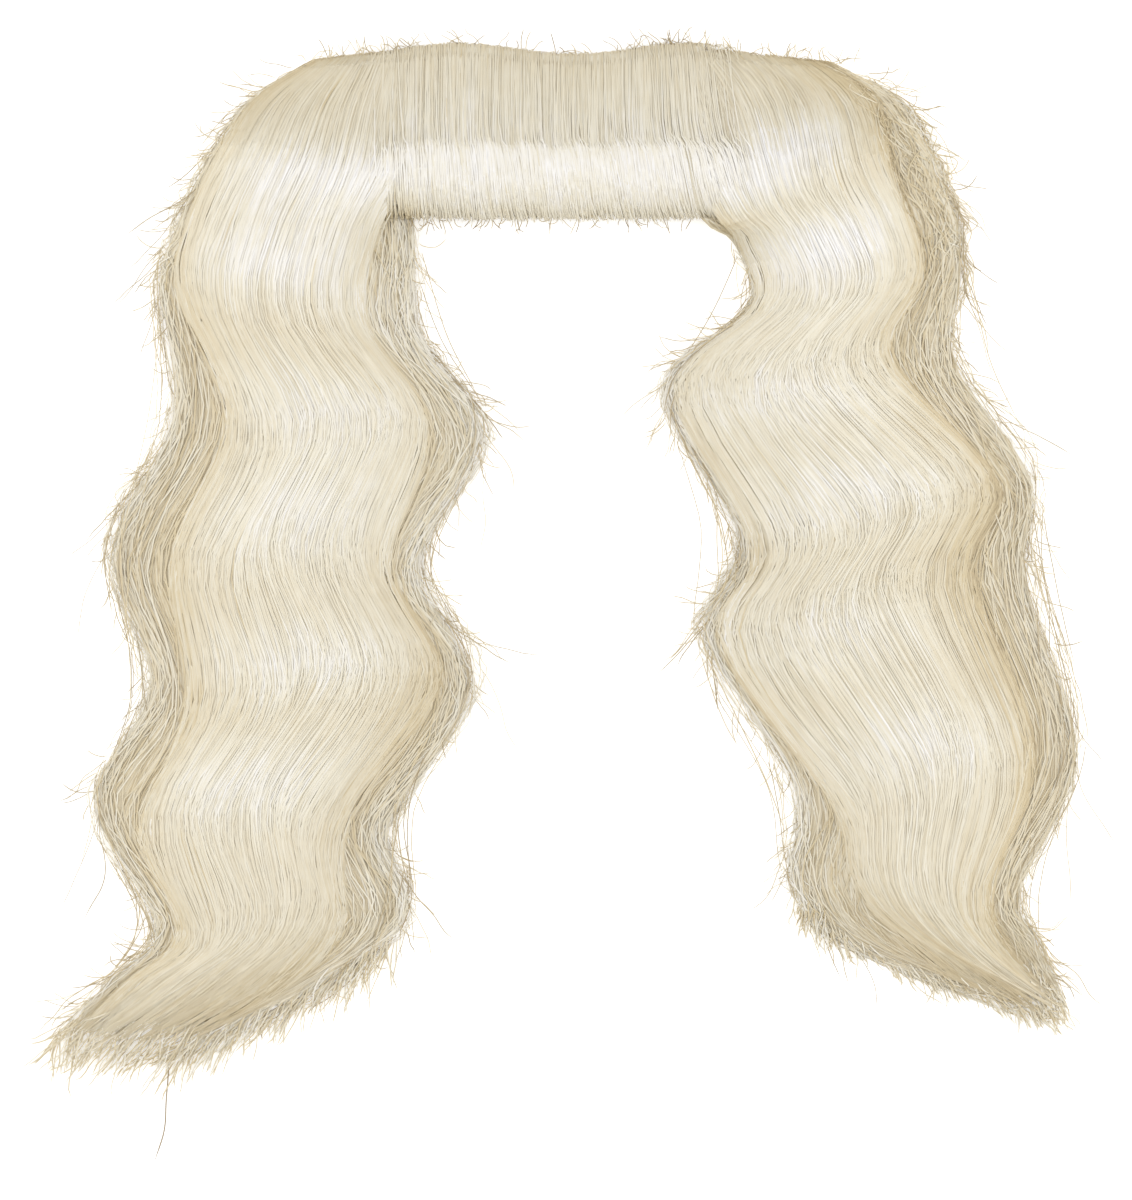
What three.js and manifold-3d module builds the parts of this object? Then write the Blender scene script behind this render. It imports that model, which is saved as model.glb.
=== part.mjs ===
// A long costume moustache of wavy blond hair, lying on its back.
// Millimetres. X runs along the lip, Y up the face and Z out of the face.
// The origin is the middle of the backing strip's back, which sticks to the upper lip.
import * as THREE from "three";
import { LoftGeometry } from "three/addons/geometries/LoftGeometry.js";
import { mergeVertices } from "three/addons/utils/BufferGeometryUtils.js";
import Module from "manifold-3d";

const wasm = await Module();
wasm.setup();

// Backing strip
const STRIP_LENGTH = 78;
const STRIP_WIDTH = 17;
const STRIP_THICKNESS = 1.2;
const STRIP_CORNER = 6;

// Clearance between neighbouring pieces
const GAP = 0.3;

// Lip band: where it meets the tails, and the two soft peaks of its top edge
const BAND_LEFT = -25.2;
const BAND_RIGHT = 18.9;
const BAND_FLOOR = -15.2;
const BAND_LOCKS = 8;
const BAND_STEPS = 10;
const PEAK_RISE = 0.9;
const PEAK_SPACING = 35;
const PEAK_CENTRE = 18;

// The band's side profile, from the roots to the hem that rolls under
const BAND_PROFILE = {
  root: { y: 12.3, top: 3.0, bottom: 0 },
  slope: { y: 4.6, top: 6.8, bottom: 0 },
  shoulder: { y: -2.6, top: 9.5, bottom: 0 },
  brow: { y: -8.4, top: 9.8, bottom: 0 },
  roll: { y: -12.4, top: 8.2, bottom: 0.7 },
  hem: { y: -13.9, top: 5.4, bottom: 2.6 },
};

// Each tail from its roots to its tip, with a row at every crest of its wave: the ends of the row, the
// heights at its left end, middle and right end, and the share of the row that the top layer covers.
const LEFT_TAIL = {
  root: { left: [-38.7, 11.1], right: [-24.0, 12.8], heights: [2.4, 3.0, 3.0], top: [0.03, 1] },
  slope: { left: [-48.6, 4.7], right: [-24.0, 3.9], heights: [5.0, 6.8, 6.8], top: [0.04, 1] },
  shoulder: { left: [-54.3, -3.3], right: [-23.9, -6.0], heights: [6.4, 9.4, 9.6], top: [0.05, 0.98] },
  bend: { left: [-61.1, -14.7], right: [-22.6, -16.5], heights: [6.8, 9.8, 8.4], top: [0.06, 0.84] },
  crest1: { left: [-62.6, -24.0], right: [-21.3, -28.8], heights: [6.6, 9.4, 7.2], top: [0.08, 0.79] },
  crest2: { left: [-60.8, -43.5], right: [-12.3, -45.0], heights: [6.2, 8.8, 6.4], top: [0.18, 0.84] },
  crest3: { left: [-70.1, -63.0], right: [-21.3, -65.1], heights: [5.8, 8.2, 6.0], top: [0.2, 0.91] },
  crest4: { left: [-64.4, -84.6], right: [-14.7, -81.8], heights: [5.4, 7.6, 5.4], top: [0.13, 0.9] },
  crest5: { left: [-72.5, -100.2], right: [-25.8, -104.4], heights: [5.0, 7.0, 5.0], top: [0.16, 0.87] },
  crest6: { left: [-63.3, -118.5], right: [-23.6, -117.3], heights: [4.6, 6.4, 4.4], top: [0.1, 0.75] },
  turn: { left: [-70.5, -128.1], right: [-33.6, -128.9], heights: [3.8, 5.2, 3.6], top: [0.08, 0.8] },
  tip: { left: [-78.2, -135.9], right: [-61.5, -144.2], heights: [2.4, 3.0, 2.4], top: [0.1, 0.9] },
};
const RIGHT_TAIL = {
  root: { left: [18.0, 13.1], right: [41.7, 10.5], heights: [3.0, 3.0, 2.4], top: [0, 0.95] },
  slope: { left: [18.0, 3.9], right: [50.9, 4.7], heights: [6.8, 6.8, 5.0], top: [0, 0.88] },
  shoulder: { left: [18.3, -12.3], right: [55.2, -3.3], heights: [9.0, 9.4, 6.4], top: [0, 0.82] },
  bend: { left: [23.9, -17.0], right: [58.7, -12.8], heights: [8.0, 9.8, 6.8], top: [0.02, 0.8] },
  crest1: { left: [26.9, -25.1], right: [59.6, -21.0], heights: [7.2, 9.4, 6.6], top: [0.02, 0.81] },
  crest2: { left: [13.1, -39.3], right: [58.8, -33.9], heights: [6.4, 8.8, 6.2], top: [0.04, 0.77] },
  crest3: { left: [23.6, -61.5], right: [70.2, -53.7], heights: [6.0, 8.2, 5.8], top: [0.05, 0.88] },
  crest4: { left: [19.1, -75.6], right: [69.2, -66.8], heights: [5.4, 7.6, 5.4], top: [0.05, 0.83] },
  crest5: { left: [32.9, -99.3], right: [77.4, -91.2], heights: [5.0, 7.0, 5.0], top: [0.1, 0.84] },
  crest6: { left: [32.7, -112.2], right: [68.7, -113.3], heights: [4.4, 6.4, 4.6], top: [0.26, 0.87] },
  turn: { left: [40.4, -122.4], right: [71.6, -122.3], heights: [3.6, 5.2, 3.8], top: [0.3, 0.85] },
  tip: { left: [71.3, -134.0], right: [75.6, -131.0], heights: [2.4, 3.0, 2.4], top: [0.1, 0.9] },
};
const TAIL_STEPS = 33;

// The layers of a tail: how many locks, what share of the row's height, and how far a lock strays sideways
const UNDER_LAYER = { locks: 4, rise: 0.62, wander: 0.01 };
const TOP_LAYER = { locks: 5, rise: 1, wander: 0.02 };
const WANDER_WAVES = 1.7;
const UNEVEN = 0.05;

// How wide a lock is, as a multiple of the spacing between neighbours
const OVERLAP = 1.7;

// A lock's section: the facets of its arch, and how flat the arch is on top, below 1 for flatter
const ARCH_FACETS = 6;
const ARCH_POWER = 0.65;

// Locks end one after the other over the last share of a tail, each narrowing towards its own end
const STAGGER = 0.04;
const TAPER = 0.14;
const TIP_WIDTH = 0.6;
const TIP_HEIGHT = 0.7;

const hairMaterial = (color) => new THREE.MeshStandardMaterial({ color, roughness: 0.55, metalness: 0 });
const BAND_HAIR = hairMaterial(0xece4d2);
const TAIL_HAIR = hairMaterial(0xe6dcc6);
const STRIP_CLOTH = new THREE.MeshStandardMaterial({ color: 0xd8cbb0, roughness: 0.9, metalness: 0 });

const { clamp, lerp, smoothstep } = THREE.MathUtils;

// An angle that sets each lock out of step with its neighbours
const GOLDEN_ANGLE = Math.PI * (3 - Math.sqrt(5));
const turnOf = (i) => GOLDEN_ANGLE * (i + 1);

// A smooth curve through the rows of a table, where pick gives the two or three numbers of a row
function curveThrough(table, pick) {
  const points = Object.values(table).map((row) => new THREE.Vector3(...pick(row)));
  return new THREE.CatmullRomCurve3(points, false, "catmullrom", 0.5);
}

// A closed geometry as a solid for joins and cuts
function toSolid(geometry) {
  const plain = new THREE.BufferGeometry().copy(geometry);
  plain.deleteAttribute("normal");
  plain.deleteAttribute("uv");
  const welded = mergeVertices(plain);
  const triVerts = new Uint32Array(welded.index.array);
  const vertProperties = welded.attributes.position.array;
  return new wasm.Manifold(new wasm.Mesh({ numProp: 3, vertProperties, triVerts }));
}

function toMesh(name, solid, material) {
  const { vertProperties, triVerts } = solid.getMesh();
  const geometry = new THREE.BufferGeometry();
  geometry.setAttribute("position", new THREE.BufferAttribute(vertProperties, 3));
  geometry.setIndex(new THREE.BufferAttribute(triVerts, 1));
  geometry.computeVertexNormals();
  const mesh = new THREE.Mesh(geometry, material);
  mesh.name = name;
  return mesh;
}

const fuse = (solids) => solids.reduce((whole, solid) => whole.add(solid));

// The places of side-by-side locks that overlap and together fill the shares from 0 to 1
function sideBySide(count) {
  const spacing = 1 / (count + OVERLAP - 1);
  const half = (spacing * OVERLAP) / 2;
  return Array.from({ length: count }, (_, i) => ({ middle: half + spacing * i, half }));
}

// One lock: a flattened arch lofted from its root to its end. For a share of the lock's length, rowAt gives
// the left and right edges there and the heights of the underside and the top.
function lock(rowAt, steps) {
  const sections = Array.from({ length: steps + 1 }, (_, i) => {
    const { left, right, bottom, top } = rowAt(i / steps);
    return Array.from({ length: ARCH_FACETS + 1 }, (_, k) => {
      const angle = (Math.PI * k) / ARCH_FACETS;
      const point = right.clone().lerp(left, (1 - Math.cos(angle)) / 2);
      return point.setZ(lerp(bottom, top, Math.abs(Math.sin(angle)) ** ARCH_POWER));
    });
  });
  return toSolid(new LoftGeometry(sections, { capStart: true, capEnd: true }));
}

// The strip, or with a clearance around it, the pocket in the hair that holds it
function stripSolid(clearance) {
  const [halfX, halfY] = [STRIP_LENGTH / 2 + clearance, STRIP_WIDTH / 2 + clearance];
  const r = STRIP_CORNER + clearance;
  const outline = new THREE.Shape();
  outline.absarc(halfX - r, halfY - r, r, 0, Math.PI / 2);
  outline.absarc(r - halfX, halfY - r, r, Math.PI / 2, Math.PI);
  outline.absarc(r - halfX, r - halfY, r, Math.PI, 1.5 * Math.PI);
  outline.absarc(halfX - r, r - halfY, r, 1.5 * Math.PI, 2 * Math.PI);
  const options = { depth: STRIP_THICKNESS + 2 * clearance, bevelEnabled: false, curveSegments: 6 };
  return toSolid(new THREE.ExtrudeGeometry(outline, options).translate(0, 0, -clearance));
}

// The block of space that the lip band has to itself, which the tails keep out of
function bandBlock() {
  const width = BAND_RIGHT - BAND_LEFT + GAP;
  const reach = 40;
  const block = new THREE.BoxGeometry(width, reach, reach);
  return toSolid(block.translate((BAND_LEFT + BAND_RIGHT) / 2, BAND_FLOOR + reach / 2, 0));
}

function lipBand() {
  const profile = curveThrough(BAND_PROFILE, ({ y, top, bottom }) => [y, top, bottom]);
  const [start, end] = [BAND_LEFT + GAP / 2, BAND_RIGHT - GAP / 2];
  const locks = sideBySide(BAND_LOCKS).map(({ middle, half }, i) => {
    const [leftX, rightX] = [lerp(start, end, middle - half), lerp(start, end, middle + half)];
    const fromPeak = (leftX + rightX) / 2 - PEAK_CENTRE;
    const peak = PEAK_RISE * Math.cos((2 * Math.PI * fromPeak) / PEAK_SPACING);
    const fullness = 1 + UNEVEN * Math.sin(turnOf(i));
    const rowAt = (share) => {
      const { x: y, y: top, z: bottom } = profile.getPoint(share);
      const rowY = y + peak * (1 - share);
      const [left, right] = [leftX, rightX].map((x) => new THREE.Vector3(x, rowY));
      return { left, right, bottom: Math.max(bottom, 0), top: top * fullness };
    };
    return lock(rowAt, BAND_STEPS);
  });
  return fuse(locks);
}

// The height at a place across a row, on the parabola through its left end, middle and right end
function crown({ x: left, y: middle, z: right }, place) {
  const aside = 2 * place - 1;
  return middle + ((right - left) / 2) * aside + ((left + right) / 2 - middle) * aside ** 2;
}

function tail(table) {
  const leftEdge = curveThrough(table, (row) => row.left);
  const rightEdge = curveThrough(table, (row) => row.right);
  const heights = curveThrough(table, (row) => row.heights);
  const cover = curveThrough(table, (row) => row.top);
  const locks = [UNDER_LAYER, TOP_LAYER].flatMap((layer) =>
    sideBySide(layer.locks).map(({ middle, half }, i) => {
      const end = 1 - STAGGER * (0.5 + 0.5 * Math.sin(turnOf(i)));
      const room = Math.min(middle, 1 - middle) - half;
      const rowAt = (share) => {
        const t = share * end;
        const wave = Math.sin(2 * Math.PI * WANDER_WAVES * t + turnOf(i));
        const centre = middle + clamp(layer.wander * wave, -room, room);
        const fullness = smoothstep((1 - share) / TAPER, 0, 1);
        const halfWidth = half * lerp(TIP_WIDTH, 1, fullness);
        const { x: from, y: to } = layer === TOP_LAYER ? cover.getPoint(t) : { x: 0, y: 1 };
        const place = (across) => lerp(from, to, across);
        const pointAt = (across) => leftEdge.getPoint(t).lerp(rightEdge.getPoint(t), place(across));
        const height = crown(heights.getPoint(t), place(centre)) * layer.rise;
        const top = height * (1 + UNEVEN * wave) * lerp(TIP_HEIGHT, 1, fullness);
        return { left: pointAt(centre - halfWidth), right: pointAt(centre + halfWidth), bottom: 0, top };
      };
      return lock(rowAt, TAIL_STEPS);
    }),
  );
  return fuse(locks);
}

const pocket = stripSolid(GAP);
const block = bandBlock();

const moustache = new THREE.Group();
moustache.add(
  toMesh("backing_strip", stripSolid(0), STRIP_CLOTH),
  toMesh("lip_band", lipBand().subtract(pocket), BAND_HAIR),
  toMesh("left_tail", tail(LEFT_TAIL).subtract(block).subtract(pocket), TAIL_HAIR),
  toMesh("right_tail", tail(RIGHT_TAIL).subtract(block).subtract(pocket), TAIL_HAIR),
);

export default moustache;
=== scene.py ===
"""A long costume moustache of wavy blond hair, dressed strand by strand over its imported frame.

Lengths in the tables are millimetres in the frame's own axes: X along the lip, Y up the face, Z out of it.
A tail's time runs from 0 at its roots to 1 at its tip, and a tone from 0, the darkest, to 1, the palest.
"""

import bpy
import numpy as np
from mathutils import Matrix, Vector


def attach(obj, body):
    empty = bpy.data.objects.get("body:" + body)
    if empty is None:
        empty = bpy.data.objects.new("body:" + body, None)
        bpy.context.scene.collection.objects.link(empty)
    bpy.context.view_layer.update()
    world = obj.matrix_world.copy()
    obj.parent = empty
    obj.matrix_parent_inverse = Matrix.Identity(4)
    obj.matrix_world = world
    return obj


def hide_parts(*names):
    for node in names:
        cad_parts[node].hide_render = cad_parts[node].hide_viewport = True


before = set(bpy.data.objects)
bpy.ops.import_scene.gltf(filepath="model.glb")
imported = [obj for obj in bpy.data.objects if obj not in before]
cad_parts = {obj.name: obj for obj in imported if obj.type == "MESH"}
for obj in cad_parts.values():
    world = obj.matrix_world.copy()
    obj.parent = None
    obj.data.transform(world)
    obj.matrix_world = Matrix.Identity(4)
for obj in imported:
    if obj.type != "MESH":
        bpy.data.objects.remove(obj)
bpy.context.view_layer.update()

MM = 0.001
SEED = 11
rng = np.random.default_rng(SEED)

# Photograph: its size, the pixel where the frame's origin falls, and the real size of a pixel
PHOTO_WIDTH = 1132
PHOTO_HEIGHT = 1200
ORIGIN_PIXEL = (570, 130)
PIXEL = 0.15

# Lip band: its ends, its soft peaks, and its surface from the roots over the shoulder and under the hem
BAND_LEFT = -25.2
BAND_RIGHT = 18.9
PEAK_RISE = 0.9
PEAK_SPACING = 35
PEAK_CENTRE = 18
BAND_SURFACE = {
    "root": (12.4, 1.2),
    "edge": (11.6, 3.2),
    "slope": (4.6, 6.5),
    "kink": (-1.9, 9.4),
    "shoulder": (-3.6, 9.8),
    "brow": (-8.4, 9.8),
    "roll": (-11.8, 8.4),
    "hem": (-13.2, 5.6),
    "curl": (-12.2, 2.0),
}

# Tails, from roots to tip: a row's left and right ends, its heights at the left, in the middle and at the
# right, and the share of the row that the pale top layer covers
LEFT_TAIL = {
    "root": ((-38.7, 11.1), (-24.0, 12.8), (2.4, 3.0, 3.0), (0.03, 1.0)),
    "slope": ((-48.6, 4.7), (-24.0, 3.9), (5.0, 6.8, 6.8), (0.04, 1.0)),
    "shoulder": ((-54.3, -3.3), (-23.9, -6.0), (6.4, 9.4, 9.6), (0.05, 0.98)),
    "bend": ((-60.2, -14.8), (-22.6, -16.5), (6.8, 9.8, 8.4), (0.06, 0.84)),
    "crest 1": ((-62.6, -24.0), (-21.6, -31.0), (6.6, 9.4, 7.2), (0.08, 0.79)),
    "crest 2": ((-60.8, -43.5), (-12.3, -45.0), (6.2, 8.8, 6.4), (0.18, 0.84)),
    "crest 3": ((-70.1, -63.8), (-22.0, -64.0), (5.8, 8.2, 6.0), (0.20, 0.91)),
    "crest 4": ((-64.4, -84.6), (-13.8, -81.4), (5.4, 7.6, 5.4), (0.13, 0.90)),
    "crest 5": ((-72.9, -101.6), (-26.4, -103.0), (5.0, 7.0, 5.0), (0.16, 0.87)),
    "crest 6": ((-63.0, -120.0), (-23.6, -117.3), (4.6, 6.4, 4.4), (0.10, 0.75)),
    "turn": ((-70.5, -128.1), (-36.0, -128.0), (3.8, 5.2, 3.6), (0.08, 0.82)),
    "tip": ((-78.2, -135.9), (-58.5, -138.4), (2.4, 3.0, 2.4), (0.10, 0.90)),
}
RIGHT_TAIL = {
    "root": ((18.0, 13.1), (41.7, 10.5), (3.0, 3.0, 2.4), (0.0, 0.95)),
    "slope": ((18.0, 3.9), (50.9, 4.7), (6.8, 6.8, 5.0), (0.0, 0.88)),
    "shoulder": ((18.3, -12.3), (55.2, -3.3), (9.0, 9.4, 6.4), (0.0, 0.82)),
    "bend": ((23.9, -17.0), (58.7, -12.8), (8.0, 9.8, 6.8), (0.02, 0.80)),
    "crest 1": ((26.9, -26.6), (59.6, -21.0), (7.2, 9.4, 6.6), (0.02, 0.81)),
    "crest 2": ((13.7, -39.6), (58.8, -33.9), (6.4, 8.8, 6.2), (0.04, 0.77)),
    "crest 3": ((24.9, -62.7), (70.5, -50.7), (6.0, 8.2, 5.8), (0.05, 0.88)),
    "crest 4": ((19.0, -77.2), (69.8, -65.2), (5.4, 7.6, 5.4), (0.05, 0.83)),
    "crest 5": ((32.9, -99.3), (77.4, -91.2), (5.0, 7.0, 5.0), (0.10, 0.84)),
    "crest 6": ((32.7, -112.2), (68.7, -113.3), (4.4, 6.4, 4.6), (0.26, 0.87)),
    "turn": ((40.8, -121.8), (71.0, -122.3), (3.6, 5.2, 3.8), (0.30, 0.85)),
    "tip": ((70.6, -133.4), (74.6, -130.6), (2.4, 3.0, 2.4), (0.10, 0.90)),
}

# Painted highlights where the waves of each tail shine, and painted shade where the strength is below 0: the
# time along it, the reach to each side of that, and the strength
LEFT_PAINTED_SHINE = (
    (0.200, 0.050, 1.00),
    (0.305, 0.045, 0.95),
    (0.385, 0.028, -0.50),
    (0.440, 0.026, 0.75),
    (0.515, 0.033, 0.80),
    (0.570, 0.020, -0.15),
    (0.620, 0.020, 1.00),
    (0.655, 0.015, -0.25),
    (0.705, 0.026, 0.95),
)
RIGHT_PAINTED_SHINE = (
    (0.150, 0.035, 1.00),
    (0.215, 0.015, -0.30),
    (0.305, 0.050, 1.00),
    (0.470, 0.020, 0.65),
    (0.500, 0.012, -0.30),
    (0.530, 0.020, 0.95),
    (0.650, 0.020, 0.70),
    (0.682, 0.014, -0.25),
    (0.712, 0.020, 0.85),
)

# Painted shade along the inner edge of each tail, with a painted highlight where the strength is below 0:
# times along it, and the strength there
LEFT_RIM_SHADING = (
    (0.300, 0.340, 0.370, 0.400, 0.500, 0.530, 0.550, 0.590, 0.620, 0.700, 0.730, 0.780),
    (0.10, -0.05, -0.05, 0.15, 0.12, 0.05, 0.08, 0.25, 0.30, 0.30, 0.20, 0.13),
)
RIGHT_RIM_SHADING = (
    (0.21, 0.26, 0.31, 0.475, 0.49, 0.505, 0.52, 0.54, 0.555, 0.58, 0.60, 0.64, 0.66, 0.69, 0.72),
    (0.42, 0.28, 0.10, 0.10, 0.20, 0.20, 0.08, 0.08, 0.20, 0.20, 0.10, 0.10, 0.22, 0.28, 0.20),
)

# One long loose hair below the left tip
LONG_HAIR = ((-60.5, -141.0), (-60.9, -146.0), (-61.2, -150.5), (-62.6, -155.0))

# Layers: the under layer's share of the height and its palest tone, the locks of the top layer and the
# grooves between them, and how far the dense hair stays inside a tail's outline, where only frizz reaches
UNDER_RISE = 0.62
PALEST_UNDER = 0.86
TOP_LOCKS = 5
GROOVE = 0.15
EDGE_INSET = 0.02

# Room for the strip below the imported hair: half its width and length with a margin, and the height over it
STRIP_ROOM = (41, 10.5)
CLEAR_OF_STRIP = 1.7

# Hair: strand counts, stations along a strand and radii
TOP_STRANDS = 800
UNDER_STRANDS = 420
BAND_STRANDS = 1500
TAIL_STATIONS = 43
BAND_STATIONS = 13
STRAND_RADIUS = 0.105
LOOSE_RADIUS = 0.065
SIDES = 3


def columns(table):
    """The columns of a tail's table, each an array with a line for every row."""
    return [np.array(column, float) for column in zip(*table.values())]


def curve(points, t):
    """A smooth curve through evenly timed points, at the times t from 0 to 1."""
    points = np.asarray(points, float)
    spans = len(points) - 1
    padded = np.vstack([2 * points[0] - points[1], points, 2 * points[-1] - points[-2]])
    place = np.clip(t, 0, 1) * spans
    i = np.minimum(place.astype(int), spans - 1)
    f = (place - i)[..., None]
    p0, p1, p2, p3 = (padded[i + k] for k in range(4))
    bend = 2 * p0 - 5 * p1 + 4 * p2 - p3 + f * (3 * (p1 - p2) + p3 - p0)
    return p1 + 0.5 * f * (p2 - p0 + f * bend)


def bump_at(value, centre, reach):
    """A smooth bump of height 1 round a centre, which fades within its reach to either side."""
    return np.exp(-(((value - centre) / reach) ** 2))


def band_height(y):
    """The height of the hair at y along the upper lip, level below the shoulder."""
    rows = [BAND_SURFACE[name] for name in ("brow", "shoulder", "kink", "slope", "edge")]
    return np.interp(y, *zip(*rows))


class Tail:
    """Where the hair of one tail runs, by its time t from root to tip and its share across a row.

    The band lies beside the share band_side until the time leaves_band, and there the tail's edge sinks by
    corner. The roots lean to the left by root_lean, and swerve is how far the hair is swept to the right
    beside the corner. The mean tone is pale, less a painted shade on the outer side and a painted rim of
    shade along the inner edge, which paints a highlight where it is below 0. Highlights are painted on the
    hair as the table shine says, beginning over the times shine_from, and earlier towards the right by tilt.
    The frayed ends are fray long.
    """

    def __init__(
        self, name, table, band_side, leaves_band, corner, root_lean, swerve,
        pale, shade, rim, shine, shine_from, tilt, fray,
    ):
        self.name = name
        self.node = f"{name}_tail"
        self.left, self.right, self.heights, self.cover = columns(table)
        run = self.right[0] - self.left[0]
        self.root_slope = run[1] / run[0]
        self.band_side = band_side
        self.leaves_band = leaves_band
        self.corner = corner
        self.root_lean = root_lean
        self.swerve = swerve
        self.pale = pale
        self.shade = shade
        self.rim = rim
        self.shine = shine
        self.shine_from = shine_from
        self.tilt = tilt
        self.fray = fray

    def from_band(self, share):
        """The share of the way across, counted from the side where the band is."""
        return 1 - share if self.band_side == 1 else share

    def point(self, t, across):
        left, right = curve(self.left, t), curve(self.right, t)
        return left + (right - left) * across[..., None]

    def arch(self, t, share, power):
        """The rise and fall of a layer from edge to edge, left level where it runs on into the band."""
        rise = np.sin(np.pi * np.clip(share, 0, 1)) ** power
        band_half = share > 0.5 if self.band_side == 1 else share < 0.5
        joined = np.interp(t, (0, 0.2, 0.3), (1, 1, 0)) * band_half
        return rise + (1 - rise) * joined

    def crown(self, t, across):
        """The top of the hair: as high as the band beside it at first, and then as the rows say."""
        easing = (-2.4, -0.8, 0.8, 2.4)
        corner_width, corner_time = 0.06, 0.035
        at_left, middle, at_right = np.moveaxis(curve(self.heights, t), -1, 0)
        aside = 2 * across - 1
        own = middle + (at_right - at_left) / 2 * aside + ((at_left + at_right) / 2 - middle) * aside**2
        beside_band = np.interp(t, (0, 0.16, 0.27), (1, 1, 0))
        y = self.point(t, across)[..., 1]
        eased = sum(band_height(y + step) for step in easing) / len(easing)
        level = own + (eased - own) * beside_band
        inner = np.maximum(self.from_band(across), 0)
        level -= self.corner * np.exp(-inner / corner_width) * bump_at(t, self.leaves_band, corner_time)
        return level * np.interp(t, (0, 0.008, 0.02), (0.3, 0.8, 1))

    def under_height(self, t, across):
        roundness = 0.4
        return UNDER_RISE * self.crown(t, across) * self.arch(t, across, roundness)

    def top_across(self, t, share):
        start, end = np.moveaxis(curve(self.cover, t), -1, 0)
        return start + (end - start) * share

    def top_height(self, t, share):
        roundness, groove_sharpness = 0.55, 0.5
        across = self.top_across(t, share)
        under = self.under_height(t, across)
        groove = GROOVE * (1 - np.abs(np.sin(np.pi * TOP_LOCKS * share)) ** groove_sharpness)
        return under + (self.crown(t, across) - under) * self.arch(t, share, roundness) - groove

    def height(self, t, across):
        """The height of whichever layer is on top."""
        start, end = np.moveaxis(curve(self.cover, t), -1, 0)
        share = (across - start) / (end - start)
        inside = (share > 0) & (share < 1)
        top = self.top_height(t, np.clip(share, 0, 1))
        under = self.under_height(t, across)
        return np.where(inside, np.maximum(top, under), under)

    def painted_sheen(self, t):
        """How strong the painted highlight is along a tail, up to 1, or how far painted shade dims it."""
        total = sum(strength * bump_at(t, place, reach) for place, reach, strength in self.shine)
        begun = np.interp(t, self.shine_from, (0, 1))
        return np.clip(total, -1, 1) * begun

    def tone(self, t, share):
        """The mean tone of the top layer: painted highlights where it shines, painted shade at its edges,
        and darker at its roots and tip.
        """
        shine_gain, shine_roundness = 0.21, 0.6
        outer_shade, outer_reach, shade_reach = 0.14, 0.15, 0.3
        root_dark, root_reach = 0.15, 0.006
        tip_from, tip_span = 0.82, 0.13
        inner = self.from_band(share)
        outer = 1 - inner
        tilted = t + self.tilt * np.maximum(share - 0.5, 0) * np.interp(t, (0.36, 0.42), (1, 0))
        lit = shine_gain * self.painted_sheen(tilted) * self.arch(t, share, shine_roundness)
        clear_of_band = np.interp(t - self.leaves_band, (-0.02, 0.03), (0, 1))
        rim_reach = np.interp(t, (0.35, 0.5, 0.6, 0.7), (0.1, 0.13, 0.13, 0.18))
        # the rim paints shade along the inner edge, and a highlight where it is below 0
        rim = np.interp(t, *self.rim) * np.exp(-inner / rim_reach) * clear_of_band
        # painted shade along the outer edge, and the inner rim's painted shade
        edges = outer_shade * np.exp(-outer / outer_reach) + rim
        # painted shade on the outer side, near the roots and lower down
        shaded = self.shade * np.exp(-outer / shade_reach)
        shaded *= np.interp(t, (0.11, 0.16, 0.46, 0.56, 0.64, 0.7), (1, 0, 0, 1, 1, 0.4))
        roots = root_dark * np.exp(-np.maximum(t, 0) / root_reach) + np.interp(t, (0.06, 0.12), (0.05, 0))
        # the tip darkens, partly tanner hair and partly painted shade along its lower, inner edge
        tip = np.clip((t - tip_from) / tip_span, 0, 1) * np.interp(inner, (0, 0.5, 1), (0.23, 0.12, 0.02))
        return self.pale + lit - edges - shaded - roots - tip

    def fringe(self, t, across):
        """How much paler the under layer is painted towards the edges of a tail, most of all on the inner
        side: painted light against the shade on the steep edge strands, shifted by the rim's painted shade.
        """
        inner_gain, rim_effect = 0.16, 0.6
        inner_edge_gain, outer_edge_gain, reach = 0.22, 0.15, 0.03
        inner = self.from_band(across)
        depth = np.maximum(np.minimum(inner, 1 - inner) - EDGE_INSET, 0)
        at_edge = np.exp(-depth / reach)
        inner_side = inner_gain - rim_effect * np.interp(t, *self.rim) + inner_edge_gain * at_edge
        return np.where(inner < 0.5, inner_side, outer_edge_gain * at_edge)

    def heading(self, t, across):
        """The direction in which the hair runs."""
        step = 0.004
        run = self.point(t + step, across) - self.point(t - step, across)
        return np.arctan2(run[..., 1], run[..., 0])


def waves(s, count, size, cycles):
    """Gentle wandering for each of count strands: three waves of random phase and speed."""
    calmer = np.array((1.0, 2.0, 3.5))
    phase = rng.uniform(0, 2 * np.pi, (3, count, 1))
    speed = rng.uniform(0.5, 1.5, (3, count, 1)) * np.array(cycles).reshape(3, 1, 1)
    weight = rng.normal(0, 1, (3, count, 1)) / calmer.reshape(3, 1, 1)
    return size * (weight * np.sin(2 * np.pi * speed * s + phase)).sum(axis=0)


def mesh_object(name, points, quads, triangles, material, smooth):
    """A mesh object from point, quad and triangle arrays, in millimetres."""
    mesh = bpy.data.meshes.new(name)
    mesh.vertices.add(len(points))
    mesh.vertices.foreach_set("co", (points * MM).astype(np.float32).ravel())
    corners = np.concatenate([quads.ravel(), triangles.ravel()])
    mesh.loops.add(len(corners))
    mesh.loops.foreach_set("vertex_index", corners.astype(np.int32))
    starts = np.concatenate([np.arange(len(quads)) * 4, quads.size + np.arange(len(triangles)) * 3])
    mesh.polygons.add(len(starts))
    mesh.polygons.foreach_set("loop_start", starts.astype(np.int32))
    mesh.polygons.foreach_set("use_smooth", np.full(len(starts), smooth))
    mesh.materials.append(material)
    mesh.update(calc_edges=True)
    piece = bpy.data.objects.new(name, mesh)
    bpy.context.scene.collection.objects.link(piece)
    return piece


def set_attribute(piece, name, values):
    made = piece.data.attributes.new(name, "FLOAT", "POINT")
    made.data.foreach_set("value", values.astype(np.float32).ravel())


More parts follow.
